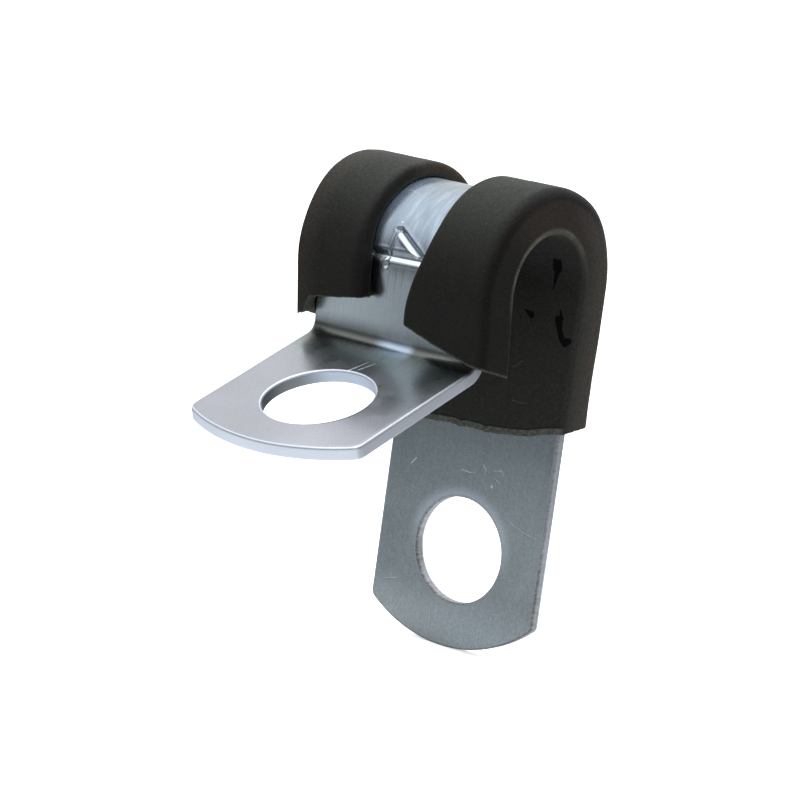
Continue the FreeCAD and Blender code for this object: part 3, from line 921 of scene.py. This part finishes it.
def extruded_rubber():
    material, tree, shader = new_material("extruded_rubber")
    seat = attribute(tree, "seat", "Vector")
    cut = attribute(tree, "cut", "Fac")
    from_end = attribute(tree, "from_end", "Fac")
    place, split = flat_place(tree, seat, 2.2, 0.14)
    cloud = noise_of(tree, seat, 0.5, 4.0, 0.6)
    mottle = noise_of(tree, seat, 3.2, 4.0, 0.65)
    grain = noise_of(tree, seat, 9.0, 3.0, 0.7)
    colour = mix_colour(tree, ramp(tree, cloud, 0.3, 0.7), (0.0160, 0.0157, 0.0120), (0.0204, 0.0200, 0.0152))
    along = split.outputs["Y"]
    # Painted light: the rubber is painted lighter over the crown, where light falls from above.
    crown = ramp(tree, math_node(tree, "ABSOLUTE", math_node(tree, "SUBTRACT", along, 26.3)), 7.5, 2.5)
    colour = mix_colour(tree, crown, colour, (0.0330, 0.0345, 0.0265))
    colour = mix_colour(tree, ramp(tree, mottle, 0.35, 0.7, 0.0, 0.35), colour, (0.0330, 0.0320, 0.0250))
    # Painted light and shade on the liner's sides and rounded corners: darker on the front leg, lighter low on the rear
    # leg, warmer over the crown and on the left, and a painted rim light low on the rear's right side.
    side = ramp(tree, math_node(tree, "ABSOLUTE", split.outputs["X"]), 6.9, 7.35)
    side_colour = mix_colour(tree, ramp(tree, along, 26.0, 20.0), (0.0160, 0.0150, 0.0124), (0.0360, 0.0335, 0.0270))
    side_colour = mix_colour(tree, crown, side_colour, (0.0320, 0.0225, 0.0165))
    left = ramp(tree, split.outputs["X"], 0.5, -0.5)
    side_colour = mix_colour(tree, left, side_colour, (0.0350, 0.0255, 0.0200))
    rear_rim_light = times(tree, ramp(tree, along, 26.0, 21.0), ramp(tree, split.outputs["X"], 0.0, 1.0))
    rear_rim_light = times(tree, rear_rim_light, ramp(tree, split.outputs["Z"], -1.9, 0.6))
    side_colour = mix_colour(tree, rear_rim_light, side_colour, (0.086, 0.070, 0.054))
    colour = mix_colour(tree, times(tree, side, 0.9), colour, side_colour)
    outside = ramp(tree, split.outputs["Z"], 0.1, 0.4)
    # Painted rim light: the left lip's outer face is painted lighter and warmer towards its left edge.
    left_rim_light = times(tree, ramp(tree, split.outputs["X"], -5.2, -7.1), outside)
    colour = mix_colour(tree, times(tree, left_rim_light, 0.7), colour, (0.0540, 0.0410, 0.0330))
    # Painted highlight and shade: the left lip's inner edge is lighter near its top and darker lower down. The right
    # outer corner is darker from the rear leg over the crown.
    lip_edge = times(tree, ramp(tree, split.outputs["X"], -3.15, -2.45), left)
    bend = times(tree, ramp(tree, split.outputs["X"], 6.4, 7.0), ramp(tree, along, 20.0, 24.0))
    bend = times(tree, bend, ramp(tree, along, 36.0, 29.0, 0.15, 1.0))
    lip_top_highlight = times(tree, lip_edge, ramp(tree, along, 28.6, 27.0))
    shadowed = times(tree, lip_edge, ramp(tree, along, 27.0, 28.6))
    darker = times(tree, math_node(tree, "MAXIMUM", shadowed, times(tree, bend, 0.8)), outside)
    colour = mix_colour(tree, times(tree, times(tree, lip_top_highlight, 0.8), outside), colour, (0.060, 0.042, 0.028))
    colour = mix_colour(tree, times(tree, darker, 0.85), colour, (0.0090, 0.0068, 0.0066))
    # Painted light: the inner face is painted lighter.
    inner_face = ramp(tree, split.outputs["Z"], -1.75, -1.9)
    colour = mix_colour(tree, times(tree, inner_face, 0.8), colour, (0.0400, 0.0392, 0.0318))
    # Painted highlight: a light line along the rounded rim of the inner opening.
    rim = times(tree, ramp(tree, split.outputs["Z"], -1.35, -1.6), ramp(tree, split.outputs["Z"], -1.92, -1.75))
    rim = times(tree, rim, ramp(tree, math_node(tree, "ABSOLUTE", split.outputs["X"]), 7.0, 7.25))
    rim = times(tree, rim, ramp(tree, cloud, 0.3, 0.7, 0.45, 1.0))
    rim = times(tree, rim, times(tree, ramp(tree, along, 18.0, 24.0), ramp(tree, along, 37.0, 33.0)))
    colour = mix_colour(tree, rim, colour, (0.170, 0.165, 0.125))
    strip = times(tree, ramp(tree, from_end, 0.46, 0.36), inner_face)
    line = times(tree, ramp(tree, from_end, 0.34, 0.42), ramp(tree, from_end, 0.58, 0.44))
    torn = math_node(tree, "MAXIMUM", cut, times(tree, strip, ramp(tree, mottle, 0.3, 0.6, 0.35, 1.0)))
    colour = mix_colour(tree, times(tree, torn, 0.75), colour, (0.215, 0.215, 0.175))
    # Painted shadow line: a thin dark line on the inner face just past the lighter strip at the cut ends.
    colour = mix_colour(tree, times(tree, line, times(tree, inner_face, 0.7)), colour, (0.004, 0.004, 0.004))
    grained = mix_colour(tree, ramp(tree, grain, 0.32, 0.68), (0.70, 0.70, 0.68), (1.34, 1.34, 1.30))
    colour = mix_colour(tree, 1.0, colour, grained, "MULTIPLY")
    dust = specks(tree, seat, 1.6, 0.10, 0.10)
    low_dust = times(tree, specks(tree, seat, 3.4, 0.5, 0.30), times(tree, ramp(tree, from_end, 1.9, 0.2), inner_face))
    on_rear = times(tree, inner_face, ramp(tree, split.outputs["Y"], 21.0, 20.5))
    all_dust = math_node(tree, "MAXIMUM", dust, low_dust)
    all_dust = math_node(tree, "MAXIMUM", all_dust, times(tree, strokes(tree, seat, RUBBER_DUST, 0.02), on_rear))
    scratch = times(tree, strokes(tree, place, RUBBER_SCRATCHES, 0.02), on_rear)
    hair = times(tree, strokes(tree, seat, LOOSE_HAIR, 0.03), outside)
    light = math_node(tree, "MAXIMUM", all_dust, scratch)
    colour = mix_colour(tree, times(tree, light, 0.55), colour, (0.16, 0.15, 0.13))
    colour = mix_colour(tree, times(tree, hair, 0.8), colour, (0.42, 0.36, 0.33))
    blotch = times(tree, strokes(tree, place, RUBBER_BLOTCHES, 0.03), on_rear)
    colour = mix_colour(tree, blotch, colour, (0.0005, 0.0005, 0.0005))
    # Painted reflection: over the crown, the left lip's inner edge turns light grey for reflected rays only, so the
    # metal beside it shows a lighter reflection.
    paths = node(tree, "ShaderNodeLightPath")
    shine = times(tree, times(tree, lip_edge, crown), paths.outputs["Is Glossy Ray"])
    colour = mix_colour(tree, times(tree, shine, 0.8), colour, (0.55, 0.60, 0.66))
    link(tree, colour, shader.inputs["Base Color"])
    rough = ramp(tree, mottle, 0.3, 0.7, 0.62, 0.76)
    rough = math_node(tree, "MAXIMUM", rough, blotch)
    link(tree, rough, shader.inputs["Roughness"])
    front_side = times(tree, side, ramp(tree, along, 28.0, 32.0))
    link(tree, math_node(tree, "SUBTRACT", 0.2, times(tree, front_side, 0.13)), shader.inputs["Specular IOR Level"])
    shader.inputs["Sheen Weight"].default_value = 0.10
    shader.inputs["Sheen Roughness"].default_value = 0.35
    shader.inputs["Sheen Tint"].default_value = (1.0, 0.93, 0.84, 1)
    relief = math_node(tree, "ADD", times(tree, grain, 0.5), mottle)
    relief = math_node(tree, "ADD", relief, times(tree, times(tree, torn, grain), 3.0))
    bump = node(tree, "ShaderNodeBump")
    bump.inputs["Strength"].default_value = 0.6
    bump.inputs["Distance"].default_value = 0.03 * MM
    link(tree, relief, bump.inputs["Height"])
    link(tree, bump.outputs["Normal"], shader.inputs["Normal"])
    return material


# Stage, lights and camera


def pale_floor():
    """A wide pale floor at the clip's lowest point. Only its near part shines back at the clip."""
    low = CAD_BOX[0].z
    mesh = bpy.data.meshes.new("floor")
    size = 3.0
    corners = [(-size, -size, low), (size, -size, low), (size, size, low), (-size, size, low)]
    mesh.from_pydata(corners, [], [(0, 1, 2, 3)])
    floor = bpy.data.objects.new("floor", mesh)
    bpy.context.scene.collection.objects.link(floor)
    material, tree, shader = new_material("pale_floor")
    paths = node(tree, "ShaderNodeLightPath")
    spot = node(tree, "ShaderNodeTexCoord")
    length = node(tree, "ShaderNodeVectorMath", operation="LENGTH")
    link(tree, spot.outputs["Object"], length.inputs[0])
    reach = ramp(tree, length.outputs["Value"], 0.008, 0.07)
    own = mix_colour(tree, reach, (0.50, 0.50, 0.51), (0.16, 0.165, 0.17))
    near = ramp(tree, length.outputs["Value"], 0.028, 0.05, 0.55, 0.24)
    fading = math_node(tree, "SUBTRACT", near, ramp(tree, length.outputs["Value"], 0.05, 0.13, 0.0, 0.16))
    mirrored = times(tree, paths.outputs["Is Glossy Ray"], fading)
    seen = math_node(tree, "MAXIMUM", paths.outputs["Is Camera Ray"], mirrored)
    seen = math_node(tree, "MAXIMUM", seen, paths.outputs["Is Transmission Ray"])
    colour = mix_colour(tree, seen, own, (1.0, 1.0, 1.0))
    link(tree, colour, shader.inputs["Base Color"])
    shader.inputs["Roughness"].default_value = 0.9
    shader.inputs["Specular IOR Level"].default_value = 0.0
    shader.inputs["Emission Color"].default_value = (1, 1, 1, 1)
    link(tree, times(tree, paths.outputs["Is Camera Ray"], 0.55), shader.inputs["Emission Strength"])
    mesh.materials.append(material)


def studio_world():
    """White to the camera; to the clip, a bright ceiling over a darker room, lighter behind to the left."""
    world = bpy.data.worlds.new("studio")
    bpy.context.scene.world = world
    world.use_nodes = True
    tree = world.node_tree
    tree.nodes.clear()
    out = node(tree, "ShaderNodeOutputWorld")
    paths = node(tree, "ShaderNodeLightPath")
    where = node(tree, "ShaderNodeTexCoord")
    split = node(tree, "ShaderNodeSeparateXYZ")
    link(tree, where.outputs["Generated"], split.inputs[0])
    ceiling = ramp(tree, split.outputs["Z"], 0.12, 0.72)
    behind = node(tree, "ShaderNodeVectorMath", operation="DOT_PRODUCT")
    link(tree, where.outputs["Generated"], behind.inputs[0])
    behind.inputs[1].default_value = (-0.61, 0.79, 0.0)
    back = ramp(tree, behind.outputs["Value"], 0.0, 0.8)
    walls = mix_colour(tree, back, (0.13, 0.135, 0.135), (0.85, 0.87, 0.90))
    room = mix_colour(tree, ceiling, walls, (1.18, 1.26, 1.38))
    soft = node(tree, "ShaderNodeBackground")
    link(tree, room, soft.inputs["Color"])
    white = node(tree, "ShaderNodeBackground")
    white.inputs["Color"].default_value = (1, 1, 1, 1)
    mix = node(tree, "ShaderNodeMixShader")
    seen = math_node(tree, "MAXIMUM", paths.outputs["Is Glossy Ray"], paths.outputs["Is Transmission Ray"])
    seen = times(tree, seen, ramp(tree, behind.outputs["Value"], 0.35, 0.9))
    link(tree, math_node(tree, "MAXIMUM", paths.outputs["Is Camera Ray"], seen), mix.inputs[0])
    link(tree, soft.outputs[0], mix.inputs[1])
    link(tree, white.outputs[0], mix.inputs[2])
    link(tree, mix.outputs[0], out.inputs["Surface"])


def soft_light(name, place, target, size, power, colour):
    data = bpy.data.lights.new(name, "AREA")
    data.shape = "DISK"
    data.size = size
    data.energy = power
    data.color = colour
    light = bpy.data.objects.new(name, data)
    light.location = place
    light.rotation_mode = "QUATERNION"
    light.rotation_quaternion = (Vector(target) - Vector(place)).to_track_quat("-Z", "Y")
    bpy.context.scene.collection.objects.link(light)


def photo_camera():
    """The photograph's view, fitted to the tabs, holes and outlines."""
    azimuth, elevation, roll = (math.radians(v) for v in (37.685, 9.501, 7.694))
    across = math.cos(elevation)
    back = Vector((math.sin(azimuth) * across, -math.cos(azimuth) * across, math.sin(elevation)))
    level = Vector((math.cos(azimuth), math.sin(azimuth), 0))
    upright = back.cross(level)
    right = level * math.cos(roll) + upright * math.sin(roll)
    up = upright * math.cos(roll) - level * math.sin(roll)
    data = bpy.data.cameras.new("camera")
    data.sensor_width = 36.0
    data.lens = 146.184
    data.clip_start = 0.01
    data.clip_end = 20.0
    camera = bpy.data.objects.new("camera", data)
    turn = Matrix((right, up, back)).transposed().to_4x4()
    camera.matrix_world = Matrix.Translation(Vector((118.586, -162.317, 42.528)) * MM) @ turn
    bpy.context.scene.collection.objects.link(camera)
    bpy.context.scene.camera = camera


def dress(piece, node_name, material):
    piece.data.materials.append(material)
    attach(piece, "root")
    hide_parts(node_name)


dress(metal_band(), "metal_band", zinc_plated_steel())
dress(rubber_liner(), "rubber_liner", extruded_rubber())
pale_floor()
studio_world()
soft_light("overhead", (-0.05, 0.06, 0.42), (0, -0.006, 0.01), 0.30, 0.55, (0.95, 0.98, 1.0))
photo_camera()
bpy.context.scene.view_settings.view_transform = "Standard"
